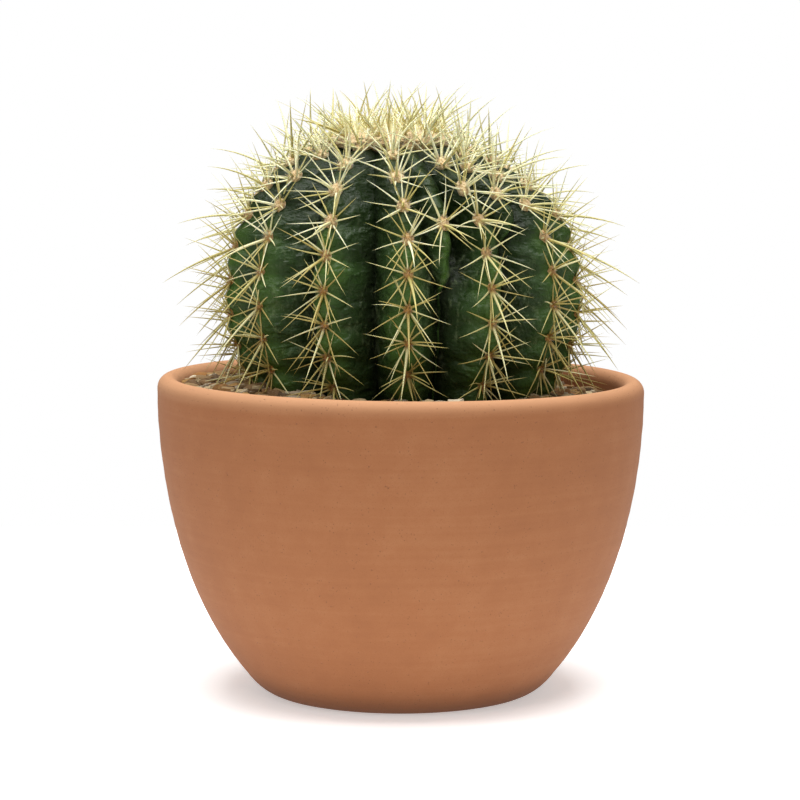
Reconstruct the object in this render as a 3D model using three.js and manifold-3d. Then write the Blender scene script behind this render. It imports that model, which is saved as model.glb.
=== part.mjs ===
// A round, golden-spined cactus growing in a terracotta bowl pot.
// Millimetres, +Z up. The origin is the centre of the pot's foot, on the surface it stands on.
// +X runs to the right, and +Y runs to the back, away from the side that faces a viewer.

import * as THREE from 'three';
import { mergeVertices } from 'three/addons/utils/BufferGeometryUtils.js';
import Module from 'manifold-3d';

const wasm = await Module();
wasm.setup();

// ---------------------------------------------------------------- driving dimensions
const GAP = 0.35; // clearance between pieces that rest on each other

const POT_RADIUS = 125;
const POT_HEIGHT = 163;
const POT_WALL = 11.4;
const POT_FLOOR = 13;
const FOOT_RADIUS = 63;
const FOOT_CURVE_RADIUS = 81; // where the rounded foot has turned into the wall
const FOOT_CURVE_HEIGHT = 12;
const BELLY = { radius: 121, height: 60 }; // the corner that the lower wall curves under
const BRIM = 132; // height from which the wall stands nearly upright
const LIP_ROUND = 6.5; // height of the rounded lip over the straight wall
const LIP_SLOPE = -0.0108; // the lip is a little lower on the right than on the left
const DRAIN_RADIUS = 10;
const FLOOR_EDGE = 55; // where the flat floor inside turns up into the wall
const POT_FACETS = 44;

const SOIL_TOP = 147;
const GRAVEL_TOP = 153.5;
const PEBBLES = 18;

const STEM_AXIS_X = 1.2;
const GIRTH_RADIUS = 90;
const GIRTH_HEIGHT = 207;
const CROWN_RISE = 78; // from the girth to the crown
const CROWN_POWER = 2.2; // squarer than an ellipse
const FOOT_DROP = 92; // from the girth to where the buried foot would close
const BURIED_FOOT_HEIGHT = 128;
const FURROW_DEPTH = 20; // from a rib's crest to the bottom of the furrow beside it
const CROWN_SHIFT = -7; // the growing point sits to the left of the stem's axis
const CROWN_SHIFT_START = 238;
const RIB_PITCH = 26; // degrees between full ribs, where a furrow has its full depth
const SECTOR_FACETS = 6; // facets across one rib
const STEM_RINGS = 13;

const AREOLE_PITCH = 16.4; // along a crest, from one areole to the next
const FIRST_AREOLE = 43.2; // along the crest from the growing point to the first full areole
const SHOULDER_STRETCH = 12; // areoles stand further apart on the shoulder
const LOWEST_AREOLE = 166;
const PAD_RADIUS = 1.9;
const SPINE_CLEARANCE = 7; // between the lowest spine tips and the gravel
const CENTRAL_SPINE = 31; // points straight out of an areole, a little downwards
const GIRTH_SPINE = 18; // one of the spines that spread round an areole at the girth
const CROWN_SPINE = 29; // the same near the crown

const WOOL_RADIUS = 19;
const WOOL_HEIGHT = 5;

// Ribs in order round the stem. The azimuth is in degrees from the front, growing to the right,
// and a stagger of half a pitch sets the areoles of every other rib between its neighbours'.
// A short rib grew in late, so it starts at the crown and fades into a furrow at its lower end.
const RIBS = [
  { name: 'spines_rib_01', azimuth: 1.5, stagger: 0.05 },
  { name: 'spines_short_rib_front', azimuth: 14.3, stagger: 2.6, fades: [206, 238] },
  { name: 'spines_rib_02', azimuth: 29.5, stagger: 0.5 },
  { name: 'spines_short_rib_right', azimuth: 43.5, stagger: 0.7, fades: [232, 252] },
  { name: 'spines_rib_03', azimuth: 56, stagger: 0.1 },
  { name: 'spines_rib_04', azimuth: 80, stagger: 0.5 },
  { name: 'spines_rib_05', azimuth: 105, stagger: 0 },
  { name: 'spines_rib_06', azimuth: 130, stagger: 0.5 },
  { name: 'spines_rib_07', azimuth: 156, stagger: 0 },
  { name: 'spines_rib_08', azimuth: 181, stagger: 0.5 },
  { name: 'spines_rib_09', azimuth: 206, stagger: 0 },
  { name: 'spines_rib_10', azimuth: 232, stagger: 0.5 },
  { name: 'spines_rib_11', azimuth: 257, stagger: 0 },
  { name: 'spines_rib_12', azimuth: 282, stagger: 0.5 },
  { name: 'spines_rib_13', azimuth: 307.5, stagger: 0.1 },
  { name: 'spines_rib_14', azimuth: 334.3, stagger: 0.55 },
];

// ---------------------------------------------------------------- materials
const material = (color, roughness) => new THREE.MeshStandardMaterial({ color, roughness, metalness: 0 });
const terracotta = material('#c07a4e', 0.85);
const pottingSoil = material('#3a2b20', 0.95);
const gravelMix = material('#a08a6c', 0.9);
const cactusSkin = material('#2f5a2c', 0.5);
const strawSpines = material('#d8c878', 0.55);
const beigeWool = material('#cfc09a', 0.95);

// ---------------------------------------------------------------- helpers
const { smoothstep, lerp, degToRad, clamp } = THREE.MathUtils;

// A closed geometry as a solid. Shared corners are merged, and slivers at a pole are dropped.
function solidOf(geometry) {
  const bare = geometry.clone();
  bare.deleteAttribute('normal');
  bare.deleteAttribute('uv');
  const merged = mergeVertices(bare, 1e-3);
  const corners = merged.index.array;
  const kept = [];
  for (let i = 0; i < corners.length; i += 3) {
    const [a, b, c] = corners.slice(i, i + 3);
    if (a !== b && b !== c && c !== a) kept.push(a, b, c);
  }
  return new wasm.Manifold(new wasm.Mesh({
    numProp: 3,
    vertProperties: merged.attributes.position.array,
    triVerts: Uint32Array.from(kept),
  }));
}

function geometryOf(solid) {
  const { vertProperties, triVerts } = solid.getMesh();
  const geometry = new THREE.BufferGeometry();
  geometry.setAttribute('position', new THREE.BufferAttribute(vertProperties, 3));
  geometry.setIndex(new THREE.BufferAttribute(triVerts, 1));
  geometry.computeVertexNormals();
  return geometry;
}

// A turned body: the profile's x is the radius and its y is the height above the surface.
function turned(profile, facets) {
  return new THREE.LatheGeometry(profile, facets).rotateX(Math.PI / 2);
}

function named(name, geometry, look) {
  const mesh = new THREE.Mesh(geometry, look);
  mesh.name = name;
  return mesh;
}

// Moves each vertex of a geometry to the place that a function gives for it.
function reshape(geometry, move) {
  const place = geometry.attributes.position;
  const point = new THREE.Vector3();
  for (let i = 0; i < place.count; i += 1) {
    move(point.fromBufferAttribute(place, i));
    place.setXYZ(i, point.x, point.y, point.z);
  }
  return geometry;
}

// ---------------------------------------------------------------- terracotta bowl pot
const lipStart = POT_HEIGHT - LIP_ROUND;

// The wall's outer line, or a line inset from it, from the foot up to where the lip begins.
function wallLine(inset, floor) {
  return new THREE.CubicBezierCurve(
    new THREE.Vector2(FOOT_CURVE_RADIUS - inset, floor),
    new THREE.Vector2(BELLY.radius - inset, BELLY.height),
    new THREE.Vector2(POT_RADIUS - inset, BRIM),
    new THREE.Vector2(POT_RADIUS - inset, lipStart),
  );
}

const innerWallFoot = POT_FLOOR + 5;
const innerWall = wallLine(POT_WALL, innerWallFoot);

function pot() {
  const foot = new THREE.QuadraticBezierCurve(
    new THREE.Vector2(FOOT_RADIUS, 0),
    new THREE.Vector2(FOOT_RADIUS + 10.8, 1.5),
    new THREE.Vector2(FOOT_CURVE_RADIUS, FOOT_CURVE_HEIGHT),
  );
  const lipCentre = POT_RADIUS - POT_WALL / 2;
  const lip = new THREE.EllipseCurve(lipCentre, lipStart, POT_WALL / 2, LIP_ROUND, 0, Math.PI);
  const innerCorner = new THREE.QuadraticBezierCurve(
    innerWall.getPoint(0),
    new THREE.Vector2(FOOT_RADIUS, POT_FLOOR),
    new THREE.Vector2(FLOOR_EDGE, POT_FLOOR),
  );
  const profile = [
    new THREE.Vector2(DRAIN_RADIUS, POT_FLOOR),
    new THREE.Vector2(DRAIN_RADIUS, 0),
    ...foot.getPoints(3),
    ...wallLine(0, FOOT_CURVE_HEIGHT).getPoints(8).slice(1),
    ...lip.getPoints(6).slice(1),
    ...innerWall.getPoints(7).reverse().slice(1),
    ...innerCorner.getPoints(2).slice(1),
    new THREE.Vector2(DRAIN_RADIUS, POT_FLOOR),
  ];
  const bowl = turned(profile, POT_FACETS);
  return named('pot', reshape(bowl, (p) => {
    p.z += LIP_SLOPE * p.x * smoothstep(p.z, 0, POT_HEIGHT);
  }), terracotta);
}

// Radius of the pot's inner wall at a height.
function innerRadius(height) {
  const line = innerWall.getPoints(40);
  const above = line.findIndex((p) => p.y >= height);
  const [low, high] = [line[above - 1], line[above]];
  return lerp(low.x, high.x, (height - low.y) / (high.y - low.y));
}

// ---------------------------------------------------------------- ribbed stem
// Radius of the rib crests at a height: an ellipse below the girth, a squarer curve above it.
function crestRadius(height) {
  const above = height > GIRTH_HEIGHT;
  const share = Math.abs(height - GIRTH_HEIGHT) / (above ? CROWN_RISE : FOOT_DROP);
  const power = above ? CROWN_POWER : 2;
  return GIRTH_RADIUS * Math.max(0, 1 - share ** power) ** (1 / power);
}

// How far a rib stands up at a height: 1 on a full rib, down to 0 where a short one has faded.
function presence(rib, height) {
  return rib.fades ? smoothstep(height, ...rib.fades) : 1;
}

const axisX = (height) => STEM_AXIS_X + CROWN_SHIFT * smoothstep(height, CROWN_SHIFT_START, 285);

function ribAt(index) {
  const count = RIBS.length;
  const turns = Math.floor(index / count);
  const rib = RIBS[index - turns * count];
  return { ...rib, azimuth: rib.azimuth + 360 * turns };
}

// The surface at a rib's sector, where across runs from -0.5 to 0.5 and 0 is the crest.
function skinPoint(index, across, height, radius) {
  const rib = ribAt(index);
  const beside = ribAt(index + Math.sign(across));
  const own = Math.max(presence(rib, height), 0.05);
  const other = Math.max(presence(beside, height), 0.05);
  const valley = lerp(rib.azimuth, beside.azimuth, own / (own + other));
  const share = Math.abs(across) * 2;
  const azimuth = degToRad(lerp(rib.azimuth, valley, share));
  const pitch = Math.min(1, Math.abs(beside.azimuth - rib.azimuth) / RIB_PITCH);
  const depth = FURROW_DEPTH * (radius / GIRTH_RADIUS) * Math.max(pitch, 1 - Math.min(own, other));
  const sunk = lerp(1 - presence(rib, height), 1, share ** 1.25);
  const skin = radius - depth * sunk;
  return new THREE.Vector3(
    axisX(height) + skin * Math.sin(azimuth),
    -skin * Math.cos(azimuth),
    height,
  );
}

// The stem, or the same form grown outwards all over, which leaves room round the real one.
function stemGeometry(grow) {
  const foot = BURIED_FOOT_HEIGHT - grow;
  const crown = GIRTH_HEIGHT + CROWN_RISE;
  const profile = [new THREE.Vector2(0, foot)];
  for (let ring = 0; ring < STEM_RINGS; ring += 1) {
    const turn = lerp(degToRad(-66), degToRad(84), ring / (STEM_RINGS - 1));
    const rise = turn > 0 ? CROWN_RISE * Math.sin(turn) ** (2 / CROWN_POWER) : FOOT_DROP * Math.sin(turn);
    const height = Math.max(GIRTH_HEIGHT + rise, BURIED_FOOT_HEIGHT + 1);
    profile.push(new THREE.Vector2(crestRadius(height) + grow, height));
  }
  profile.push(new THREE.Vector2(0, crown - 2 + grow));
  const facets = RIBS.length * SECTOR_FACETS;
  return reshape(turned(profile, facets), (p) => {
    const radius = Math.hypot(p.x, p.y);
    const turn = Math.atan2(p.x, -p.y) / (2 * Math.PI);
    const sector = Math.round(turn * facets) / SECTOR_FACETS;
    const index = Math.round(sector + 1e-6);
    if (radius > 1e-3) p.copy(skinPoint(index, sector - index, p.z, radius));
    else p.x = axisX(p.z);
  });
}

const stem = () => named('cactus_stem', stemGeometry(0), cactusSkin);

// ---------------------------------------------------------------- soil, gravel and pebbles
// A filling of the pot between two heights, with the stem's foot left out of it.
function filling(low, high) {
  const rings = high - low > 20 ? 4 : 1;
  const slack = 1.2; // the wall's flat facets cut inside its true round
  const profile = [new THREE.Vector2(0, low)];
  if (low < innerWallFoot) profile.push(new THREE.Vector2(FLOOR_EDGE - slack, low));
  const wallFrom = Math.max(low, innerWallFoot + 1);
  for (let ring = 0; ring <= rings; ring += 1) {
    const height = lerp(wallFrom, high, ring / rings);
    profile.push(new THREE.Vector2(innerRadius(height) - slack, height));
  }
  profile.push(new THREE.Vector2(0, high));
  const room = solidOf(stemGeometry(2 * GAP));
  return geometryOf(solidOf(turned(profile, POT_FACETS)).subtract(room));
}

const soil = () => named('potting_soil', filling(POT_FLOOR + GAP, SOIL_TOP), pottingSoil);
const gravel = () => named('gravel_layer', filling(SOIL_TOP + GAP, GRAVEL_TOP), gravelMix);

// Loose stones spread round the gravel by the golden angle, each a lumpy, flattened ball.
function pebble(number) {
  const goldenAngle = 2.39996;
  const size = 3 + 1.6 * ((number * 0.618) % 1);
  const azimuth = number * goldenAngle;
  const reach = 101 + 6 * Math.sin(number * 1.7);
  const stone = new THREE.IcosahedronGeometry(size, 0).scale(1.15, 0.9, 0.62);
  reshape(stone, (p) => p.multiplyScalar(1 + 0.09 * Math.sin(p.x * 1.3 + p.y + number)));
  const mesh = named(`pebble_${String(number).padStart(2, '0')}`, stone, gravelMix);
  mesh.rotation.z = azimuth * 3;
  mesh.position.set(
    reach * Math.sin(azimuth),
    -reach * Math.cos(azimuth),
    GRAVEL_TOP + 2 * GAP + size * 0.68,
  );
  return mesh;
}

// ---------------------------------------------------------------- rows of spines
// The crest line in the plane of a rib: x is the radius and y is the height, from crown to foot.
const crestLine = new THREE.SplineCurve(Array.from({ length: 25 }, (unused, i) => {
  const turn = lerp(degToRad(90), degToRad(-36), i / 24);
  const rise = turn > 0 ? CROWN_RISE * Math.sin(turn) ** (2 / CROWN_POWER) : FOOT_DROP * Math.sin(turn);
  return new THREE.Vector2(crestRadius(GIRTH_HEIGHT + rise), GIRTH_HEIGHT + rise);
}));
const crestLength = crestLine.getLength();

// Where the areole stands that is so many places down a rib from the crown.
function areoleAt(place) {
  const along = FIRST_AREOLE + AREOLE_PITCH * place + SHOULDER_STRETCH * (1 - Math.exp(-place / 2));
  const share = clamp(along / crestLength, 0, 1);
  const { x: radius, y: height } = crestLine.getPointAt(share);
  const down = crestLine.getTangentAt(share);
  return { radius, height, outward: new THREE.Vector2(-down.y, down.x), down };
}

// Where the tips of an areole's five spines point: across the rib, up along it and outwards.
// Each tip is drawn out of one corner of the pad, so the keys are the pad's own directions.
const TIPS = [
  { corner: [0, 0, 1], points: [0, -0.25, 1] },
  { corner: [-1, 0, 0], points: [-0.8, 0.15, 0.6] },
  { corner: [1, 0, 0], points: [0.8, 0.15, 0.6] },
  { corner: [0, 1, 0], points: [0, 0.75, 0.65] },
  { corner: [0, -1, 0], points: [0, -0.75, 0.65] },
];

function areole(rib, place) {
  const { radius, height, outward, down } = areoleAt(place);
  const azimuth = degToRad(rib.azimuth);
  const inSpace = (plane) => new THREE.Vector3(
    plane.x * Math.sin(azimuth),
    -plane.x * Math.cos(azimuth),
    plane.y,
  );
  const side = new THREE.Vector3(Math.cos(azimuth), Math.sin(azimuth), 0);
  const out = inSpace(outward);
  const up = inSpace(down).negate();
  const centre = inSpace({ x: radius, y: height });
  centre.x += axisX(height);
  centre.addScaledVector(out, PAD_RADIUS + GAP);

  const towardsCrown = smoothstep(height, 215, 275);
  const room = lerp(1, 0.3, smoothstep(height, 250, 278)) * (rib.fades ? 0.55 : 1);
  const star = new THREE.OctahedronGeometry(PAD_RADIUS, 1);
  reshape(star, (p) => {
    const tip = TIPS.find(({ corner }) => p.distanceTo(new THREE.Vector3(...corner)
      .multiplyScalar(PAD_RADIUS)) < 1e-3);
    if (!tip) return;
    const [across, along, away] = tip.points;
    const spreading = lerp(GIRTH_SPINE, CROWN_SPINE, towardsCrown);
    const length = tip.corner[2] ? lerp(CENTRAL_SPINE, CENTRAL_SPINE + 4, towardsCrown) : spreading;
    const reach = new THREE.Vector3(across * room, along * lerp(1, 0.5, towardsCrown), away);
    const drop = -(up.z * reach.y + out.z * reach.z) / reach.length();
    const headroom = centre.z - GRAVEL_TOP - SPINE_CLEARANCE;
    p.copy(reach).setLength(drop * length > headroom ? headroom / drop : length);
  });
  star.applyMatrix4(new THREE.Matrix4().makeBasis(side, up, out).setPosition(centre));
  return { centre, solid: solidOf(star) };
}

// One row: its areoles joined by a thin cord that follows the crest just clear of the skin.
function spineRow(rib) {
  const lowest = rib.fades ? rib.fades[1] : LOWEST_AREOLE;
  const places = [];
  for (let place = rib.stagger; areoleAt(place).height > lowest; place += 1) places.push(place);
  const areoles = places.map((place) => areole(rib, place));
  let row = areoles.reduce((joined, each) => joined.add(each.solid), areoles[0].solid);
  if (areoles.length > 1) {
    const route = new THREE.CatmullRomCurve3(areoles.map((each) => each.centre));
    const section = new THREE.Shape([
      new THREE.Vector2(0.9, 0),
      new THREE.Vector2(-0.5, 0.8),
      new THREE.Vector2(-0.5, -0.8),
    ]);
    const cord = new THREE.ExtrudeGeometry(section, {
      steps: 2 * (areoles.length - 1),
      extrudePath: route,
      bevelEnabled: false,
    });
    row = row.add(solidOf(cord));
  }
  return named(rib.name, geometryOf(row), strawSpines);
}

// ---------------------------------------------------------------- wool on the growing point
function crownWool() {
  const base = GIRTH_HEIGHT + CROWN_RISE + GAP;
  const dome = new THREE.EllipseCurve(0, base, WOOL_RADIUS, WOOL_HEIGHT, 0, Math.PI / 2);
  const pad = turned([new THREE.Vector2(0, base), ...dome.getPoints(5)], 24);
  const mesh = named('crown_wool', pad, beigeWool);
  mesh.position.x = axisX(base);
  return mesh;
}

// ---------------------------------------------------------------- the whole plant
const plant = new THREE.Group();
plant.add(pot(), soil(), gravel(), stem(), crownWool());
for (let number = 1; number <= PEBBLES; number += 1) plant.add(pebble(number));
for (const rib of RIBS) plant.add(spineRow(rib));

export default plant;
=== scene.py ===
import math
import random

import bmesh
import bpy
from mathutils import Matrix, Vector, geometry, noise


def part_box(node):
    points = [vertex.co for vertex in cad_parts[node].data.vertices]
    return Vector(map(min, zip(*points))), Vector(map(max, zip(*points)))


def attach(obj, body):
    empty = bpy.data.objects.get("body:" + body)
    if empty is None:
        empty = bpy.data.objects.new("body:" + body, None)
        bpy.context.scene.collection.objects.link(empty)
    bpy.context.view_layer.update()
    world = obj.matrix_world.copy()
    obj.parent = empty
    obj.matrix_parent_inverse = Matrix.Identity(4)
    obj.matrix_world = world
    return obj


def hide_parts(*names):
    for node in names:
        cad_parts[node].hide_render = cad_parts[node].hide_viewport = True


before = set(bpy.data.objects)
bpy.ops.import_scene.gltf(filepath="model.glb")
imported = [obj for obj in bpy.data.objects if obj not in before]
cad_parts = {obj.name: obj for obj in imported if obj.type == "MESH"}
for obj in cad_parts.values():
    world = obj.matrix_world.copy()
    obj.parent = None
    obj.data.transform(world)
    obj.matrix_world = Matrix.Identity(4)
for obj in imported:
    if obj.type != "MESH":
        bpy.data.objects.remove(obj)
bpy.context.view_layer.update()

mm = 0.001


# ---------------------------------------------------------------- terracotta bowl
# The bowl is thrown in red earthenware, left unglazed and fired. Its wall swells from a small
# flat foot to an upright brim, and the lip is rolled over, a little lower on the right. The dry
# clay keeps faint rings from the potter's fingers, small pits and dark specks.
POT_RADIUS = 125 * mm
POT_HEIGHT = 163 * mm
POT_WALL = 11.4 * mm
LIP_ROUND = 6.5 * mm
LIP_SLOPE = -0.0108
POT_FLOOR = 13 * mm
DRAIN_RADIUS = 10 * mm
DRAIN_BEVEL = 1.2 * mm
POT_STEPS = 256
FINGER_RING = 0.2 * mm
RINGS_PER_METRE = 160
DUST_AND_HIGHLIGHT_DEPTH = 9 * mm
FOOT_SHADE_HEIGHT = 18 * mm
CLAY_RELIEF = 0.35 * mm
CLAY = "#9c633b"
CLAY_PALE = "#a87149"
CLAY_BURNT = "#8f5833"
CLAY_FOOT_SHADE = "#5f3a22"
CLAY_DUST_AND_HIGHLIGHT = "#e8b98c"
CLAY_SPECK = "#5d3a26"


def linear(code):
    """A colour written as #rrggbb, as the linear light that a shader wants."""
    shares = [int(code[i:i + 2], 16) / 255 for i in (1, 3, 5)]
    return [s / 12.92 if s <= 0.04045 else ((s + 0.055) / 1.055) ** 2.4 for s in shares] + [1.0]


class Wire:
    """A socket in a finish. Arithmetic on it adds Math nodes."""

    def __init__(self, finish, socket):
        self.finish = finish
        self.socket = socket

    def math(self, operation, *others):
        return self.finish.node("Math", {"operation": operation}, dict(enumerate([self, *others])))

    def __add__(self, other):
        return self.math("ADD", other)

    def __mul__(self, other):
        return self.math("MULTIPLY", other)

    def __sub__(self, other):
        return self.math("SUBTRACT", other)

    def __rsub__(self, other):
        return self.finish.node("Math", {"operation": "SUBTRACT"}, {0: other, 1: self})

    __radd__ = __add__
    __rmul__ = __mul__


class Finish:
    """A material, built from nodes that all come from its node method."""

    def __init__(self, name):
        self.material = bpy.data.materials.new(name)
        self.material.use_nodes = True
        self.tree = self.material.node_tree
        self.tree.nodes.clear()
        self.place = self.node("TexCoord", {}, {}, "Object")

    def node(self, kind, settings, inputs, output=0):
        made = self.tree.nodes.new("ShaderNode" + kind)
        for name, value in settings.items():
            if name == "stops":
                self.set_stops(made.color_ramp, value)
            else:
                setattr(made, name, value)
        for key, value in inputs.items():
            if isinstance(value, Wire):
                self.tree.links.new(value.socket, made.inputs[key])
            else:
                made.inputs[key].default_value = value
        return Wire(self, made.outputs[output])

    def set_stops(self, ramp, stops):
        while len(ramp.elements) < len(stops):
            ramp.elements.new(1.0)
        for element, (position, code) in zip(ramp.elements, stops):
            element.position = position
            element.color = linear(code)

    def noise(self, scale, detail=2.0, stretch=(1, 1, 1), roughness=0.5):
        """Cloudy noise from 0 to 1, with so many lumps to the metre."""
        spot = self.node("Mapping", {}, {"Vector": self.place, "Scale": stretch})
        return self.node("TexNoise", {}, {
            "Vector": spot, "Scale": scale, "Detail": detail, "Roughness": roughness})

    def cells(self, scale):
        """Distance from the nearest of scattered points, about so many to the metre."""
        return self.node("TexVoronoi", {}, {"Vector": self.place, "Scale": scale}, "Distance")

    def height(self):
        return self.node("SeparateXYZ", {}, {0: self.place}, "Z")

    def attribute(self, name):
        return self.node("Attribute", {"attribute_name": name}, {}, "Fac")

    def ramp(self, value, stops):
        return self.node("ValToRGB", {"stops": stops}, {0: value})

    def window(self, value, low, high):
        """0 below low and 1 above high, or the other way round where low is the larger."""
        return self.node("MapRange", {"interpolation_type": "SMOOTHSTEP"}, {
            "Value": value, "From Min": low, "From Max": high})

    def mix(self, share, low, high):
        """Two colours mixed by a share. Codes and wires both do."""
        low, high = [linear(c) if isinstance(c, str) else c for c in (low, high)]
        return self.node("Mix", {"data_type": "RGBA"}, {0: share, 6: low, 7: high}, 2)

    def done(self, colour, roughness, relief=None, depth=1 * mm, **fixed):
        """Ends in the Principled shader. Relief is a height from 0 to 1, so deep at 1."""
        inputs = {"Base Color": colour, "Roughness": roughness, **fixed}
        if relief is not None:
            inputs["Normal"] = self.node("Bump", {}, {"Height": relief, "Distance": depth})
        shader = self.node("BsdfPrincipled", {}, inputs)
        end = self.tree.nodes.new("ShaderNodeOutputMaterial")
        self.tree.links.new(shader.socket, end.inputs["Surface"])
        return self.material


def curve(knots, count):
    """Points along a cubic curve given as (radius, height) for its ends and its two handles."""
    start, handle, other_handle, end = [Vector((radius, 0, height)) for radius, height in knots]
    return geometry.interpolate_bezier(start, handle, other_handle, end, count)


def arc(centre, radii, start, end, count):
    """Points along part of an ellipse in the plane of the radius and the height."""
    turns = [math.radians(start + (end - start) * i / (count - 1)) for i in range(count)]
    return [Vector((centre[0] + radii[0] * math.cos(t), 0, centre[1] + radii[1] * math.sin(t)))
            for t in turns]


def turned(outline, steps, closed=False):
    """A solid turned about the upright axis from its outline."""
    shape = bmesh.new()
    corners = [shape.verts.new(point) for point in outline]
    sides = [shape.edges.new(pair) for pair in zip(corners, corners[1:])]
    if closed:
        sides.append(shape.edges.new((corners[-1], corners[0])))
    bmesh.ops.spin(shape, geom=corners + sides, cent=(0, 0, 0), axis=(0, 0, 1), dvec=(0, 0, 0),
                   angle=math.tau, steps=steps, use_merge=True, use_duplicate=False)
    bmesh.ops.remove_doubles(shape, verts=shape.verts, dist=0.01 * mm)
    bmesh.ops.recalc_face_normals(shape, faces=shape.faces)
    return shape


def piece(name, shape, material, slot, *nodes, sharp=180):
    """Finishes a bmesh as a piece of the plant that stands for CAD nodes."""
    mesh = bpy.data.meshes.new(name)
    shape.to_mesh(mesh)
    shape.free()
    mesh.shade_smooth()
    if sharp < 180:
        mesh.set_sharp_from_angle(angle=math.radians(sharp))
    mesh.materials.append(material)
    made = bpy.data.objects.new(name, mesh)
    bpy.context.scene.collection.objects.link(made)
    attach(made, "root")
    if nodes:
        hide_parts(*nodes)


def terracotta():
    clay = Finish("terracotta")
    clouds = clay.noise(14, 3)
    mottle = clay.noise(85, 4, roughness=0.6)
    rings = clay.noise(7, 4, stretch=(1, 1, 60))
    grain = clay.noise(1500, 3, roughness=0.7)
    pits = clay.window(clay.cells(330), 0.2, 0.05) * clay.window(clay.noise(240), 0.52, 0.6)
    specks = clay.window(clay.cells(520), 0.2, 0.1) * clay.window(clay.noise(170, 1), 0.48, 0.6)
    tone = clouds * 0.4 + mottle * 0.35 + rings * 0.25
    body = clay.ramp(tone, [(0.2, CLAY_BURNT), (0.5, CLAY), (0.8, CLAY_PALE)])
    body = clay.mix(clay.window(grain, 0.5, 0.75) * 0.7, body, CLAY_BURNT)
    height = clay.height()
    # The top of the lip is painted paler: partly dust, partly a painted highlight where the overhead
    # light falls on it.
    dust_and_highlight = clay.window(height, POT_HEIGHT - DUST_AND_HIGHLIGHT_DEPTH, POT_HEIGHT)
    body = clay.mix(dust_and_highlight * 0.3, body, CLAY_DUST_AND_HIGHLIGHT)
    # Painted shade: the clay is darkened near the foot, where the floor shadow would fall on the
    # underside.
    body = clay.mix(clay.window(height, FOOT_SHADE_HEIGHT, 1 * mm) * 0.6, body, CLAY_FOOT_SHADE)
    colour = clay.mix(specks * 0.55 + pits * 0.35, body, CLAY_SPECK)
    relief = rings * 0.2 + mottle * 0.05 + grain * 0.15 - pits * 0.5
    return clay.done(colour, 0.78 + grain * 0.12, relief, CLAY_RELIEF)


# Half of the bowl's section: the drain hole, the foot, the outer wall, the lip, then the inside.
lip_start = POT_HEIGHT - LIP_ROUND
inside = POT_RADIUS - POT_WALL
outline = [
    Vector((DRAIN_RADIUS, 0, DRAIN_BEVEL)),
    Vector((DRAIN_RADIUS + DRAIN_BEVEL, 0, 0)),
    *curve([(63 * mm, 0), (70 * mm, 0), (76 * mm, 5 * mm), (81 * mm, 12 * mm)], 9),
    *curve([(81 * mm, 12 * mm), (121 * mm, 60 * mm), (POT_RADIUS, 132 * mm),
            (POT_RADIUS, lip_start)], 48)[1:],
    *arc((POT_RADIUS - POT_WALL / 2, lip_start), (POT_WALL / 2, LIP_ROUND), 0, 180, 21)[1:],
    *curve([(inside, lip_start), (inside, 132 * mm), (110 * mm, 60 * mm), (70 * mm, 18 * mm)],
           24)[1:],
    *curve([(70 * mm, 18 * mm), (66 * mm, POT_FLOOR), (62 * mm, POT_FLOOR), (55 * mm, POT_FLOOR)],
           6)[1:],
    Vector((DRAIN_RADIUS + 1 * mm, 0, POT_FLOOR)),
    Vector((DRAIN_RADIUS, 0, POT_FLOOR - 1 * mm)),
]
bowl = turned(outline, POT_STEPS, closed=True)
for v in bowl.verts:
    height = v.co.z
    reach = math.hypot(v.co.x, v.co.y)
    rising = min(1, height / (20 * mm))
    ring = noise.noise(Vector((v.co.x * 2, v.co.y * 2, height * RINGS_PER_METRE)))
    v.co.xy *= 1 + FINGER_RING * rising * ring / reach
    v.co.z += LIP_SLOPE * v.co.x * min(1, height / POT_HEIGHT) ** 2
piece("terracotta_bowl", bowl, terracotta(), "terracotta", "pot", sharp=60)


# ---------------------------------------------------------------- potting soil
# Dark composted bark and peat fill the bowl up to a few millimetres under the top of the gravel,
# which lets it show only between the stones. Its loose top sinks a little towards the right.
SOIL_TOP = 147.5 * mm
SOIL_RADIUS = 112 * mm
SOIL_SINK = 0.04
SOIL_DARK = "#1d140e"
SOIL_BROWN = "#3f2d1f"


def humus():
    earth = Finish("potting_soil")
    crumbs = earth.noise(420, 5, roughness=0.7)
    colour = earth.ramp(crumbs, [(0.35, SOIL_DARK), (0.7, SOIL_BROWN)])
    return earth.done(colour, 0.95, crumbs, 1.5 * mm)


soil_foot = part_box("potting_soil")[0].z
ground = turned([
    Vector((0, 0, soil_foot)),
    Vector((54 * mm, 0, soil_foot)),
    *curve([(69 * mm, 19 * mm), (109 * mm, 60 * mm), (SOIL_RADIUS, 110 * mm),
            (SOIL_RADIUS, SOIL_TOP)], 12),
    *[Vector((SOIL_RADIUS * (1 - i / 28), 0, SOIL_TOP)) for i in range(1, 29)],
], 120)
for v in ground.verts:
    if v.co.z > SOIL_TOP - 1 * mm and v.co.xy.length < SOIL_RADIUS - 1 * mm:
        v.co.z += 1.6 * mm * noise.noise(v.co * 90) - SOIL_SINK * max(0, v.co.x)
piece("soil", ground, humus(), "potting_soil", "potting_soil")


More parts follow.
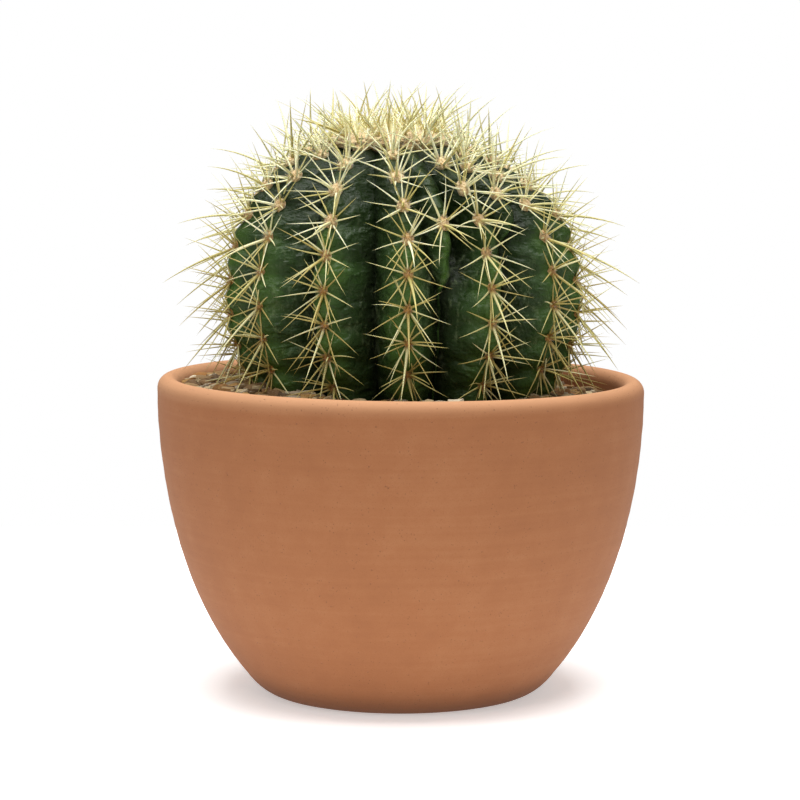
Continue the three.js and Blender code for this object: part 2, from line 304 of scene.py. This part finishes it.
# ---------------------------------------------------------------- ribbed stem
# The stem is one grown body of water-filled flesh under a waxy skin. Fourteen ribs run from the
# growing point to the foot, and two short ones grew in late at the front right. The flesh swells
# between one areole and the next, so each crest is notched and each flank is rippled.
AXIS_X = 1.2 * mm
GIRTH_RADIUS = 90 * mm
GIRTH_HEIGHT = 207 * mm
CROWN_RISE = 78 * mm
CROWN_POWER = 2.2
FOOT_DROP = 92 * mm
CROWN_SHIFT = -7 * mm
FOOT_TURN = -66
FURROW_DEPTH = 22 * mm
RIB_PITCH = 26
RIB_STEPS = 24
STEM_RINGS = 224
CREST_ROUNDING = 0.16
NOTCH = 1.1 * mm
RIPPLE = 3.2 * mm
PLUMPNESS = 1.5 * mm
CALM_RADIUS = 60 * mm
SKIN_LUMPS = [(34, 1.3 * mm), (90, 1.0 * mm), (210, 0.35 * mm)]
SKIN_RELIEF = 2 * mm
HOLLOW_AZIMUTH = 23.2
HOLLOW_HEIGHT = 234 * mm
HOLLOW_DEPTH = 20 * mm
HOLLOW_SPREAD = 5.2
HOLLOW_REACH = 19 * mm
AREOLE_PITCH = 16.4 * mm
FIRST_AREOLE = 43.2 * mm
SHOULDER_STRETCH = 12 * mm
SKIN_SHADE = "#0a1206"
SKIN_SHADED_GREEN = "#142209"
SKIN_GREEN = "#2a421b"
SKIN_LIT = "#4c6f27"
SKIN_BLOOM_AND_GLINT = "#82916a"

# Azimuth in degrees from the front, growing to the right; the stagger that sets a rib's areoles
# between its neighbours'; and the heights, in millimetres, over which a short rib fades away.
RIBS = [
    (1.5, 0.05, None), (14.3, 2.6, (206, 238)), (29.5, 0.5, None), (43.5, 0.7, (232, 252)),
    (56.0, 0.1, None), (80.0, 0.5, None), (105.0, 0.0, None), (130.0, 0.5, None),
    (156.0, 0.0, None), (181.0, 0.5, None), (206.0, 0.0, None), (232.0, 0.5, None),
    (257.0, 0.0, None), (282.0, 0.5, None), (307.5, 0.1, None), (334.3, 0.55, None),
]


def smooth(value, low, high):
    share = min(1, max(0, (value - low) / (high - low)))
    return share * share * (3 - 2 * share)


def blend(low, high, share):
    return low + (high - low) * share


def crest_radius(height):
    """Radius of the rib crests: an ellipse below the girth and a squarer curve above it."""
    above = height > GIRTH_HEIGHT
    share = abs(height - GIRTH_HEIGHT) / (CROWN_RISE if above else FOOT_DROP)
    power = CROWN_POWER if above else 2
    return GIRTH_RADIUS * max(0, 1 - share ** power) ** (1 / power)


def crest_height(degrees):
    """Height of the crest at an angle above the girth, where 90 is the growing point."""
    lift = math.sin(math.radians(degrees))
    rise = CROWN_RISE * lift ** (2 / CROWN_POWER) if lift > 0 else FOOT_DROP * lift
    return GIRTH_HEIGHT + rise


def crest_line(count=600):
    """The crest from the growing point down to the foot, with the length walked so far."""
    walked = []
    for i in range(count):
        height = crest_height(blend(90, FOOT_TURN, i / (count - 1)))
        point = Vector((crest_radius(height), height))
        length = walked[-1][0] + (point - walked[-1][1]).length if walked else 0
        walked.append((length, point))
    return walked


crest_walk = crest_line()


def crest_at(length):
    """The point at a length along the crest, and the way down it there."""
    i = next((i for i, (walked, _) in enumerate(crest_walk) if walked >= length), len(crest_walk) - 1)
    i = max(i, 1)
    (before, start), (after, end) = crest_walk[i - 1], crest_walk[i]
    share = min(1, (length - before) / (after - before))
    return start.lerp(end, share), (end - start).normalized()


def areole_length(place):
    """Length along the crest from the growing point to an areole, counted down a rib."""
    return FIRST_AREOLE + AREOLE_PITCH * place + SHOULDER_STRETCH * (1 - math.exp(-place / 2))


# Each height's place in the count of areoles, for the swelling between them.
place_steps = [i / 20 for i in range(-24, 200)]
place_heights = [crest_at(areole_length(place))[0].y for place in place_steps]


def place_at(height):
    """The place in the count of areoles that a height on the crest has."""
    for i in range(1, len(place_steps)):
        if place_heights[i] <= height:
            gap = place_heights[i - 1] - place_heights[i]
            share = (place_heights[i - 1] - height) / gap if gap > 0 else 0
            return blend(place_steps[i - 1], place_steps[i], min(1, max(0, share)))
    return place_steps[-1]


def rib_at(index):
    """A rib by its number, which may run on past the last one or back past the first."""
    turns, which = divmod(index, len(RIBS))
    azimuth, stagger, fade = RIBS[which]
    return azimuth + 360 * turns, stagger, fade


def presence(rib, height):
    """How much of a rib there is at a height. Only a short rib fades away."""
    fade = rib[2]
    return smooth(height, fade[0] * mm, fade[1] * mm) if fade else 1


def axis_x(height):
    """Where the stem's axis stands: it leans to the left near the top."""
    return AXIS_X + CROWN_SHIFT * smooth(height, 238 * mm, 285 * mm)


def hollow_at(degrees, height):
    """How much of the pinched hollow beside the front short rib there is at a place."""
    turn = (degrees - HOLLOW_AZIMUTH) / HOLLOW_SPREAD
    return math.exp(-turn ** 2 - ((height - HOLLOW_HEIGHT) / HOLLOW_REACH) ** 2)


def skin_point(index, across, height, radius, place):
    """A point of the skin in a rib's sector: across is 0 on the crest and 0.5 in the furrow."""
    rib = rib_at(index)
    beside = rib_at(index + (1 if across > 0 else -1))
    own = max(presence(rib, height), 0.05)
    other = max(presence(beside, height), 0.05)
    valley = blend(rib[0], beside[0], own / (own + other))
    share = abs(across) * 2
    azimuth = math.radians(blend(rib[0], valley, share))
    pitch = min(1, abs(beside[0] - rib[0]) / RIB_PITCH)
    depth = FURROW_DEPTH * (radius / GIRTH_RADIUS) * max(pitch, 1 - min(own, other))
    slope = (math.hypot(share, CREST_ROUNDING) - CREST_ROUNDING) / (
        math.hypot(1, CREST_ROUNDING) - CREST_ROUNDING)
    sunk = blend(1 - presence(rib, height), 1, slope)
    beat = math.cos(math.tau * (place - rib[1]))
    notch = NOTCH * (0.7 - beat) * math.exp(-(share / 0.28) ** 2)
    fold = abs(math.sin(math.pi * (place - rib[1] - 0.3 * share)))
    ripple = RIPPLE * (fold - 0.7) * math.sin(math.pi * share ** 0.7)
    plump = PLUMPNESS * math.sin(math.pi * share)
    size = min(1, radius / CALM_RADIUS)
    skin = radius - depth * sunk + (notch * presence(rib, height) + ripple + plump) * size
    spot = Vector((skin * math.sin(azimuth), -skin * math.cos(azimuth), height))
    lump = sum(noise.noise(spot * scale) * rise for scale, rise in SKIN_LUMPS)
    skin += lump * size - HOLLOW_DEPTH * hollow_at(math.degrees(azimuth), height)
    return Vector((axis_x(height) + skin * math.sin(azimuth), -skin * math.cos(azimuth), height))


def waxy_skin():
    skin = Finish("waxy_cactus_skin")
    ridge = skin.attribute("ridge")
    clouds = skin.noise(45, 4, roughness=0.6)
    fine = skin.noise(620, 4, roughness=0.7)
    scuffs = skin.noise(230, 6, stretch=(1, 1, 0.55), roughness=0.75)
    patches = skin.noise(30, 3, roughness=0.6)
    folds = (skin.noise(70, 3, stretch=(1, 1, 1.7)) * 2 - 1).math("ABSOLUTE")
    # Painted light and shade: the crests are painted lighter green and the furrows darker, and the
    # furrow bottoms get a near-black painted shade.
    green = skin.ramp(ridge * 0.6 + clouds * 0.6, [
        (0.35, SKIN_SHADED_GREEN), (0.62, SKIN_GREEN), (0.98, SKIN_LIT)])
    green = skin.mix(skin.window(ridge, 0.2, 0.0) * 0.6, green, SKIN_SHADE)
    shoulder_shade = skin.window(skin.height(), 225 * mm, 258 * mm)
    # Grey-green patches: partly waxy bloom, partly painted highlight on the rippled flanks.
    bloom_and_glint = skin.window(scuffs, 0.5, 0.68) * skin.window(patches, 0.38, 0.6)
    colour = skin.mix(bloom_and_glint * 0.45 + fine * 0.05, green, SKIN_BLOOM_AND_GLINT)
    # Painted shade: the shoulders near the crown are painted darker.
    colour = skin.mix(shoulder_shade * 0.85, colour, SKIN_SHADED_GREEN)
    roughness = 0.2 + bloom_and_glint * 0.2 + fine * 0.2
    relief = fine * 0.15 + scuffs * 0.45 + skin.window(folds, 0.0, 0.3) * 0.4
    return skin.done(colour, roughness, relief, SKIN_RELIEF, **{"Specular IOR Level": 0.22})


foot_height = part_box("cactus_stem")[0].z
stem_outline = [Vector((0, 0, GIRTH_HEIGHT + CROWN_RISE - 1.5 * mm))]
for i in range(STEM_RINGS):
    height = crest_height(blend(87, FOOT_TURN, i / (STEM_RINGS - 1)))
    height = max(height, foot_height + 1 * mm)
    stem_outline.append(Vector((crest_radius(height), 0, height)))
stem_outline.append(Vector((0, 0, foot_height)))
stem_shape = turned(stem_outline, len(RIBS) * RIB_STEPS)
crest_light_layer = stem_shape.verts.layers.float.new("ridge")
places = {}
for v in stem_shape.verts:
    radius = v.co.xy.length
    height = v.co.z
    if radius < 0.1 * mm:
        v.co.x = axis_x(height)
        continue
    turn = math.atan2(v.co.x, -v.co.y) / math.tau
    sector = round(turn * len(RIBS) * RIB_STEPS) / RIB_STEPS
    index = math.floor(sector + 0.5)
    level = round(height * 1e6)
    if level not in places:
        places[level] = place_at(height)
    v.co = skin_point(index, sector - index, height, radius, places[level])
    degrees = math.degrees(math.atan2(v.co.x - axis_x(height), -v.co.y))
    # The crest share is cut in the pinched hollow, so the hollow gets the furrows' painted shade.
    v[crest_light_layer] = (1 - abs(sector - index) * 2) * (1 - hollow_at(degrees, height))
piece("ribbed_stem", stem_shape, waxy_skin(), "cactus_skin", "cactus_stem", sharp=48)


# ---------------------------------------------------------------- gravel and pebbles
# A top dressing of washed river gravel, 4 to 9 mm, in creams, tans, greys and rusts. It lies
# loose from the foot of the stem to the clay, deeper on the left, with larger pebbles on top.
GRAVEL_TOP = 154 * mm
GRAVEL_STONES = 1850
STONE_WIDTHS = (4.0, 9.4, 6.6)
BED_RADIUS = 111 * mm
BED_EDGE = 112.8 * mm
MOUND = 2.5 * mm
GRAVEL_TILT = 0.045
STONE_VEIN = "#664611"
STONE_DUST = "#e6dbc4"
STONE_COLOURS = ["#c4a574", "#7d5f3a", "#dcc79b", "#5e4a33", "#a9702f", "#4a3d30", "#ecdfc2",
                 "#6f5230", "#2b221b", "#b98f52"]

# Four stones lie high at the front, where the lip doesn't hide them: how far to the right and how
# wide, in millimetres, and their colour's place in the list above.
FRONT_STONES = [(7, 6, 0.7), (13, 7, 0.25), (26, 9.5, 0.62), (34, 5, 0.85)]
FRONT_STONES_Y = -99 * mm
FRONT_STONES_Z = 158.5 * mm


def stone():
    rock = Finish("river_gravel")
    kind = rock.attribute("kind")
    steps = [(i / len(STONE_COLOURS), code) for i, code in enumerate(STONE_COLOURS)]
    grain = rock.noise(900, 4, roughness=0.7)
    veins = rock.noise(260, 3)
    colour = rock.mix(veins * 0.7, rock.ramp(kind, steps), STONE_VEIN)
    colour = rock.mix(rock.window(grain, 0.5, 0.8) * 0.18, colour, STONE_DUST)
    return rock.done(colour, 0.7 + grain * 0.2, grain, 0.4 * mm)


stone_material = stone()


def template(shape):
    """Keeps a bmesh as a mesh that stamp can copy many times."""
    mesh = bpy.data.meshes.new("template")
    shape.to_mesh(mesh)
    shape.free()
    return mesh


def stamp(shape, mesh):
    """Adds a copy of a template to a bmesh, and gives the copy's vertices."""
    first = len(shape.verts)
    shape.from_mesh(mesh)
    shape.verts.ensure_lookup_table()
    return shape.verts[first:]


def stone_template(cuts):
    """A cube one unit wide, divided and drawn most of the way to a ball."""
    shape = bmesh.new()
    bmesh.ops.create_cube(shape, size=1.0)
    bmesh.ops.subdivide_edges(shape, edges=shape.edges, cuts=cuts, use_grid_fill=True)
    for v in shape.verts:
        v.co = v.co.lerp(v.co.normalized() * 0.56, 0.7)
    return template(shape)


def add_stone(bed, layer, model, place, size, turn, kind):
    """One stone: a template that is dented, squashed, turned and set down."""
    shift = Vector((kind * 40, place.x * 900, place.y * 900))
    for v in stamp(bed, model):
        v.co *= 1 + 0.5 * noise.noise(v.co * 1.4 + shift)
        v.co = place + turn @ Vector((v.co.x * size.x, v.co.y * size.y, v.co.z * size.z))
        v[layer] = kind


def gravel_height(place):
    """How high the bed lies: mounded against the stem, deeper on the left than on the right."""
    reach = math.hypot(place.x, place.y)
    mound = MOUND * (1 - smooth(reach, 78 * mm, 104 * mm))
    return GRAVEL_TOP + mound - GRAVEL_TILT * place.x


dice = random.Random(7)
bed = bmesh.new()
kind_layer = bed.verts.layers.float.new("kind")
gravel_template = stone_template(1)
for number in range(GRAVEL_STONES):
    azimuth = dice.uniform(0, math.tau)
    reach = math.sqrt(dice.uniform(0.4, 1.1)) * BED_RADIUS
    width = dice.triangular(*STONE_WIDTHS) * mm
    size = Vector((width, width * dice.uniform(0.65, 0.95), width * dice.uniform(0.5, 0.8)))
    reach = min(reach, BED_EDGE - width * 0.55)
    place = Vector((reach * math.sin(azimuth), -reach * math.cos(azimuth), 0))
    place.z = gravel_height(place) - dice.uniform(-0.15, 1) ** 2 * 6 * mm
    turn = (Matrix.Rotation(dice.uniform(0, math.tau), 3, "Z")
            @ Matrix.Rotation(dice.uniform(-0.5, 0.5), 3, "X"))
    add_stone(bed, kind_layer, gravel_template, place, size, turn, dice.random())
for x, width, kind in FRONT_STONES:
    place = Vector((x * mm, FRONT_STONES_Y, FRONT_STONES_Z))
    size = Vector((width, width * 0.8, width * 0.8)) * mm
    turn = Matrix.Rotation(dice.uniform(0, math.tau), 3, "Z")
    add_stone(bed, kind_layer, gravel_template, place, size, turn, kind)
piece("gravel_bed", bed, stone_material, "gravel", "gravel_layer", sharp=40)

pebble_template = stone_template(5)
for name in sorted(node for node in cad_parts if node.startswith("pebble_")):
    low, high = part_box(name)
    loose = bmesh.new()
    layer = loose.verts.layers.float.new("kind")
    centre = (low + high) / 2
    centre.z = gravel_height(centre) + 1.2 * mm
    turn = Matrix.Rotation(dice.uniform(0, math.tau), 3, "Z")
    add_stone(loose, layer, pebble_template, centre, (high - low) * 1.1, turn, dice.random())
    piece("loose_" + name, loose, stone_material, "gravel", name)


# ---------------------------------------------------------------- areoles and spines
# Every rib carries a row of areoles, woolly cushions rooted in the notches of its crest. Each one
# grows eight or nine stiff radial spines in a star, and six central ones, of which the lowest is
# the longest and arches down. Young areoles are broad, beige and fluffy; old ones are rusty.
SPINE_SIDES = 5
SPINE_RINGS = 6
LOWEST_AREOLE = 162 * mm
YOUTH_HEIGHTS = (205 * mm, 276 * mm)
CROWN_HEIGHTS = (258 * mm, 276 * mm)
CLEAR_RADIUS = 110 * mm
CLEAR_HEIGHT = 167 * mm
HAIR_RADIUS = 0.16 * mm
SPINE_RELIEF = 0.05 * mm
WOOL_RELIEF = 0.9 * mm
STRAW_OLD = "#ab9750"
STRAW = "#c4ba72"
STRAW_YOUNG = "#f2f0c8"
SPINE_BASE = "#a5702f"
SPINE_TIP = "#6d5330"
WOOL_YOUNG = "#dfcb9c"
WOOL_OLD = "#b98c4f"
WOOL_RUST = "#a5742f"
WOOL_TIP = "#f7efdc"

# Lengths and radii of the spines in millimetres, each given low on the stem and at the crown.
RADIAL_DOWN = (24, 25)
RADIAL_UP = (19, 29)
RADIAL_GIRTH = (0.5, 0.6)
LOWEST_CENTRAL = (35, 42)
LOWEST_GIRTH = 0.8
SIDE_CENTRAL = (28, 42)
SIDE_GIRTH = (0.52, 0.8)
LOWER_CENTRAL = (28, 26)
LOWER_GIRTH = 0.52
UPPER_CENTRAL = (24, 34)
UPPER_GIRTH = (0.5, 0.75)
ROOT_SPREAD = 0.45


def spine_finish():
    horn = Finish("straw_spines")
    along, tone, youth = [horn.attribute(name) for name in ("along", "tone", "youth")]
    shade = tone * 0.65 + youth * 0.42
    body = horn.ramp(shade, [(0.05, STRAW_OLD), (0.42, STRAW), (0.85, STRAW_YOUNG)])
    foot = horn.window(along, 0.14, 0.0) * (1 - youth * 0.6)
    colour = horn.mix(foot * 0.85, body, SPINE_BASE)
    tip = horn.window(along, 0.88, 1.0) * horn.window(tone, 0.35, 0.7) * (1 - youth * 0.7)
    colour = horn.mix(tip * 0.7, colour, SPINE_TIP)
    rings = (along * 160).math("SINE")
    return horn.done(colour, 0.42 + rings * 0.06, rings, SPINE_RELIEF, **{
        "Subsurface Weight": 0.2, "Subsurface Radius": (1.0, 0.8, 0.35),
        "Subsurface Scale": 0.6 * mm})


def wool_finish():
    wool = Finish("areole_wool")
    along, youth = wool.attribute("along"), wool.attribute("youth")
    tufts = wool.noise(700, 2, roughness=0.7)
    colour = wool.mix(youth, WOOL_OLD, WOOL_YOUNG)
    colour = wool.mix(wool.window(tufts, 0.46, 0.54) * (1 - along) * 0.6, colour, WOOL_RUST)
    colour = wool.mix(along * 0.7, colour, WOOL_TIP)
    return wool.done(colour, 0.95, tufts, WOOL_RELIEF, **{"Sheen Weight": 0.4})


STRAIGHT = Vector((0, 0, 0))
spine_material = spine_finish()
wool_material = wool_finish()


def spike_template(sides, rings, taper):
    """A spike one unit high and one unit in radius near its foot."""
    shape = bmesh.new()
    bmesh.ops.create_cone(shape, cap_ends=True, segments=sides, radius1=1, radius2=0.02, depth=1,
                          matrix=Matrix.Translation((0, 0, 0.5)))
    upright = [e for e in shape.edges if abs(e.verts[0].co.z - e.verts[1].co.z) > 0.5]
    if rings > 1:
        bmesh.ops.subdivide_edges(shape, edges=upright, cuts=rings - 1, use_grid_fill=True)
    for v in shape.verts:
        turn = math.atan2(v.co.y, v.co.x)
        width = taper(v.co.z)
        v.co.xy = (width * math.cos(turn), width * math.sin(turn))
    return template(shape)


def spine_taper(along):
    bulb = 0.3 * math.exp(-(along / 0.05) ** 2)
    return max(0.03, (1 - along ** 1.25) ** 0.85 + bulb)


spine_template = spike_template(SPINE_SIDES, SPINE_RINGS, spine_taper)
hair_template = spike_template(3, 1, lambda along: max(0.05, 1 - along))
ball = bmesh.new()
bmesh.ops.create_icosphere(ball, subdivisions=2, radius=1)
pad_template = template(ball)


class Tuft:
    """A growing mesh of spikes and pads, with how far along, how pale and how young each is."""

    def __init__(self):
        self.shape = bmesh.new()
        self.layers = {name: self.shape.verts.layers.float.new(name)
                       for name in ("along", "tone", "youth")}

    def paint(self, v, along, tone, youth):
        v[self.layers["along"]] = along
        v[self.layers["tone"]] = tone
        v[self.layers["youth"]] = youth

    def spike(self, kind, root, way, sag, length, radius, tone, youth):
        """Adds a spike that leaves its root along way and bends by sag towards its tip."""
        side = way.orthogonal().normalized()
        other = way.cross(side)
        for v in stamp(self.shape, kind):
            x, y, along = v.co
            bend = sag * (along * along * length)
            v.co = root + way * (along * length) + bend + (side * x + other * y) * radius
            self.paint(v, along, tone, youth)

    def pad(self, centre, basis, tone, youth):
        """Adds a lumpy woolly cushion, as wide and as high as its basis says."""
        for v in stamp(self.shape, pad_template):
            fluff = 1 + 0.3 * noise.noise(v.co * 2.4 + centre * 900)
            v.co = centre + basis @ (v.co * fluff)
            self.paint(v, 0, tone, youth)


def spread(aim, up, side, out):
    """A direction from its shares across the rib, up along it and outwards."""
    return (side * aim[0] + up * aim[1] + out * aim[2]).normalized()


def clear_of_pot(root, way, sag, length):
    """The length at which a spine's tip stays off the gravel and the inside of the lip."""
    while length > 6 * mm:
        tip = root + way * length + sag * length
        outside = tip.xy.length > CLEAR_RADIUS and tip.z < CLEAR_HEIGHT
        if tip.z > GRAVEL_TOP + 2 * mm and not outside:
            break
        length *= 0.9
    return length


def areole_frame(index, place):
    """Where an areole is rooted, the ways across its rib, up along it and out, and its height."""
    (radius, height), down = crest_at(areole_length(place))
    azimuth = math.radians(RIBS[index][0])
    radial = Vector((math.sin(azimuth), -math.cos(azimuth), 0))
    out = (radial * -down.y + Vector((0, 0, 1)) * down.x).normalized()
    up = -(radial * down.x + Vector((0, 0, 1)) * down.y).normalized()
    return skin_point(index, 0, height, radius, place), up.cross(out), up, out, height


def grow_cushion(wool, foot, side, up, out, size, youth, dice):
    """The wool of an areole: a pad with short hairs standing out of it."""
    basis = Matrix((side, up, out)).transposed()
    wool.pad(foot - out * 0.3 * mm, basis @ Matrix.Diagonal(size), dice.random(), youth)
    for _ in range(int(blend(14, 34, youth))):
        aim = Vector((dice.gauss(0, 0.6), dice.gauss(0, 0.6), 1)).normalized()
        root = foot + basis @ Vector((aim.x * size.x, aim.y * size.y, aim.z * size.z * 0.6))
        way = spread((aim.x + dice.gauss(0, 0.3), aim.y + dice.gauss(0, 0.3), 0.9), up, side, out)
        wool.spike(hair_template, root, way, STRAIGHT, blend(1.5, 2.8, youth) * mm, HAIR_RADIUS,
                   dice.random(), youth)


def grow_areole(spines, wool, index, place, dice):
    """Plants one areole on a rib, with its wool and its spines."""
    foot, side, up, out, height = areole_frame(index, place)
    youth = smooth(height, *YOUTH_HEIGHTS)
    crowning = smooth(height, *CROWN_HEIGHTS)
    room = blend(1, 0.62, smooth(height, 262 * mm, 280 * mm))
    width = blend(2.1, 4.0, youth) * mm * (0.75 if place < -0.6 else 1)
    size = Vector((width, width * 1.3, width * 0.75))
    grow_cushion(wool, foot, side, up, out, size, youth, dice)

    def spine(aim, length, girth, sag):
        wobble = [dice.gauss(0, 0.06) for _ in range(3)]
        aim = Vector(aim) + Vector(wobble)
        way = spread((aim.x * room, aim.y, aim.z), up, side, out)
        root = foot + side * aim.x * size.x * ROOT_SPREAD + up * aim.y * size.y * ROOT_SPREAD
        length *= mm * dice.uniform(blend(0.88, 0.6, crowning), 1.12)
        droop = Vector((0, 0, -1)) * sag + side * dice.gauss(0, blend(0.05, 0.16, crowning))
        length = clear_of_pot(root, way, droop, length)
        spines.spike(spine_template, root, way, droop, length, girth * mm * dice.uniform(0.85, 1.1),
                     dice.random(), youth)

    star = dice.choice((8, 8, 8, 9))
    offset = dice.uniform(-0.2, 0.2)
    for i in range(star):
        turn = math.tau * (i + 0.5) / star + offset
        upward = 0.5 + 0.5 * math.cos(turn)
        lift = blend(0.32, 0.5, youth) + dice.gauss(0, 0.06)
        length = blend(blend(*RADIAL_DOWN, crowning), blend(*RADIAL_UP, crowning), upward)
        spine((math.sin(turn), math.cos(turn), lift), length, blend(*RADIAL_GIRTH, crowning),
              dice.gauss(0.02, 0.07))
    tilt = blend(-0.8, -0.3, youth)
    spine((dice.gauss(0, 0.15), tilt, 1.0), blend(*LOWEST_CENTRAL, crowning), LOWEST_GIRTH,
          blend(0.12, 0.26, youth))
    for sign in (-1, 1):
        spine((sign * 0.5, blend(0.3, 0.4, youth), 1.0), blend(*SIDE_CENTRAL, crowning),
              blend(*SIDE_GIRTH, crowning), blend(0.04, 0.25, crowning))
        spine((sign * 0.55, -0.75, 0.8), blend(*LOWER_CENTRAL, youth), LOWER_GIRTH, 0.06)
    spine((dice.gauss(0, 0.2), 0.9, 1.0), blend(*UPPER_CENTRAL, crowning),
          blend(*UPPER_GIRTH, crowning), 0.02)


row_names = {0: "spines_rib_01", 1: "spines_short_rib_front", 2: "spines_rib_02",
             3: "spines_short_rib_right"}
row_names.update({i: f"spines_rib_{i - 1:02d}" for i in range(4, len(RIBS))})
wool = Tuft()
for index, (_, stagger, fade) in enumerate(RIBS):
    dice = random.Random(100 + index)
    spines = Tuft()
    lowest = fade[1] * mm if fade else LOWEST_AREOLE
    place = stagger if fade else stagger - 1
    while crest_at(areole_length(place))[0].y > lowest:
        grow_areole(spines, wool, index, place, dice)
        place += 1
    node = row_names[index]
    piece(node.replace("spines", "spine_row"), spines.shape, spine_material, "spines", node)
piece("areole_cushions", wool.shape, wool_material, "areole_wool")


# ---------------------------------------------------------------- woolly crown
# New areoles crowd together on the growing point, buried in a disc of cream wool that hangs over
# the tops of the furrows. Their young spines stand up in a thicket that is paler than the others.
CROWN_AREOLES = 19
CROWN_REACH = 30 * mm
AREOLE_TURN = 2.39996
CROWN_SPINES = 6
CROWN_KINDS = ((16, 0.5), (19, 0.55), (22, 0.6), (31, 0.9))
WOOL_RADIUS = 34 * mm
WOOL_DEPTH = 7 * mm
WOOL_HAIRS = 4200
HAIR_REACH = 35 * mm
CROWN_HAIR_RADIUS = 0.14 * mm
wool_low, wool_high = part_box("crown_wool")
growing_point = (wool_low + wool_high) / 2
growing_point.z = wool_low.z


def on_crown(azimuth, reach, rise):
    """A place on the crown, so far from the growing point, and the way out to it."""
    outwards = Vector((math.sin(azimuth), -math.cos(azimuth), 0))
    return growing_point + outwards * reach + Vector((0, 0, rise)), outwards


dice = random.Random(55)
cap = Tuft()
dome = bmesh.new()
bmesh.ops.create_uvsphere(dome, u_segments=64, v_segments=32, radius=1)
for v in stamp(cap.shape, template(dome)):
    lumps = 1 + 0.12 * noise.noise(v.co * 4) + 0.1 * noise.noise(v.co * 9)
    swell = Vector((v.co.x * WOOL_RADIUS, v.co.y * WOOL_RADIUS, v.co.z * WOOL_DEPTH)) * lumps
    v.co = growing_point - Vector((0, 0, 3 * mm)) + swell
    cap.paint(v, 0, 0.5, 1)
for _ in range(WOOL_HAIRS):
    azimuth = dice.uniform(0, math.tau)
    share = math.sqrt(dice.random())
    root, outwards = on_crown(azimuth, share * HAIR_REACH, 3 * mm - 6 * mm * share ** 2)
    lean = (outwards - Vector((0, 0, 0.4))) * share ** 3 * 1.5
    way = (lean + Vector((dice.gauss(0, 0.5), dice.gauss(0, 0.5), 1))).normalized()
    cap.spike(hair_template, root, way, STRAIGHT, dice.uniform(2, 5) * mm, CROWN_HAIR_RADIUS,
              dice.random(), 1)

cap_spines = Tuft()
for number in range(CROWN_AREOLES):
    share = math.sqrt((number + 0.5) / CROWN_AREOLES)
    root, outwards = on_crown(number * AREOLE_TURN, share * CROWN_REACH, 1 * mm)
    lean = outwards * (0.15 + 0.6 * share)
    for _ in range(CROWN_SPINES):
        way = lean + Vector((dice.gauss(0, 0.45), dice.gauss(0, 0.45), 1))
        droop = lean * dice.uniform(0, 0.5)
        droop += Vector((dice.gauss(0, 0.15), dice.gauss(0, 0.15), -0.1))
        length, girth = dice.choice(CROWN_KINDS)
        length *= dice.uniform(0.85, 1.1) * mm
        cap_spines.spike(spine_template, root, way.normalized(), droop, length, girth * mm,
                         dice.random(), dice.choice((0.5, 0.8, 1)))
piece("crown_wool_cap", cap.shape, wool_material, "areole_wool", "crown_wool")
piece("crown_spines", cap_spines.shape, spine_material, "spines")


# ---------------------------------------------------------------- studio
# A white light table in a white room, with one broad soft light overhead and a weaker one in
# front. The table glows a little, so the shadow round the foot stays narrow.
TABLE_HALF = 0.55
TABLE_GLOW = 0.42
ROOM_LIGHT = 0.3
ROOM_WHITE = 1.0
CAMERA_TILT = 6.265
CAMERA_PLACE = (-0.36 * mm, -1540.4 * mm, 319.7 * mm)


def backdrop_white():
    white = Finish("studio_white")
    return white.done(linear("#fafafa"), 0.9, **{
        "Emission Color": linear("#ffffff"), "Emission Strength": TABLE_GLOW})


floor_shape = bmesh.new()
bmesh.ops.create_grid(floor_shape, x_segments=1, y_segments=1, size=TABLE_HALF)
floor_mesh = bpy.data.meshes.new("floor")
floor_shape.to_mesh(floor_mesh)
floor_shape.free()
floor_mesh.materials.append(backdrop_white())
floor = bpy.data.objects.new("floor", floor_mesh)
bpy.context.scene.collection.objects.link(floor)


def softbox(name, place, aim, width, height, power):
    lamp = bpy.data.lights.new(name, "AREA")
    lamp.shape = "RECTANGLE"
    lamp.size = width
    lamp.size_y = height
    lamp.energy = power
    made = bpy.data.objects.new(name, lamp)
    made.location = place
    made.rotation_euler = (Vector(aim) - Vector(place)).to_track_quat("-Z", "Y").to_euler()
    bpy.context.scene.collection.objects.link(made)


softbox("overhead", (0.0, -0.1, 1.5), (0, 0, 0.15), 1.2, 1.2, 37)
softbox("front", (-0.35, -1.5, 1.4), (0, 0, 0.15), 0.6, 0.6, 4)

# The room lights the plant dimly, and is plain white where nothing stands in front of it.
world = bpy.data.worlds.new("studio")
world.use_nodes = True
sky = world.node_tree.nodes["Background"]
rays = world.node_tree.nodes.new("ShaderNodeLightPath")
level = world.node_tree.nodes.new("ShaderNodeMapRange")
level.inputs["To Min"].default_value = ROOM_LIGHT
level.inputs["To Max"].default_value = ROOM_WHITE
world.node_tree.links.new(rays.outputs["Is Camera Ray"], level.inputs["Value"])
world.node_tree.links.new(level.outputs["Result"], sky.inputs["Strength"])
sky.inputs["Color"].default_value = (1, 1, 1, 1)
bpy.context.scene.world = world
bpy.context.scene.view_settings.view_transform = "Standard"

lens = bpy.data.cameras.new("camera")
lens.sensor_width = 36
lens.lens = 135.3
camera = bpy.data.objects.new("camera", lens)
camera.location = CAMERA_PLACE
camera.rotation_euler = (math.radians(90 - CAMERA_TILT), 0, 0)
bpy.context.scene.collection.objects.link(camera)
bpy.context.scene.camera = camera
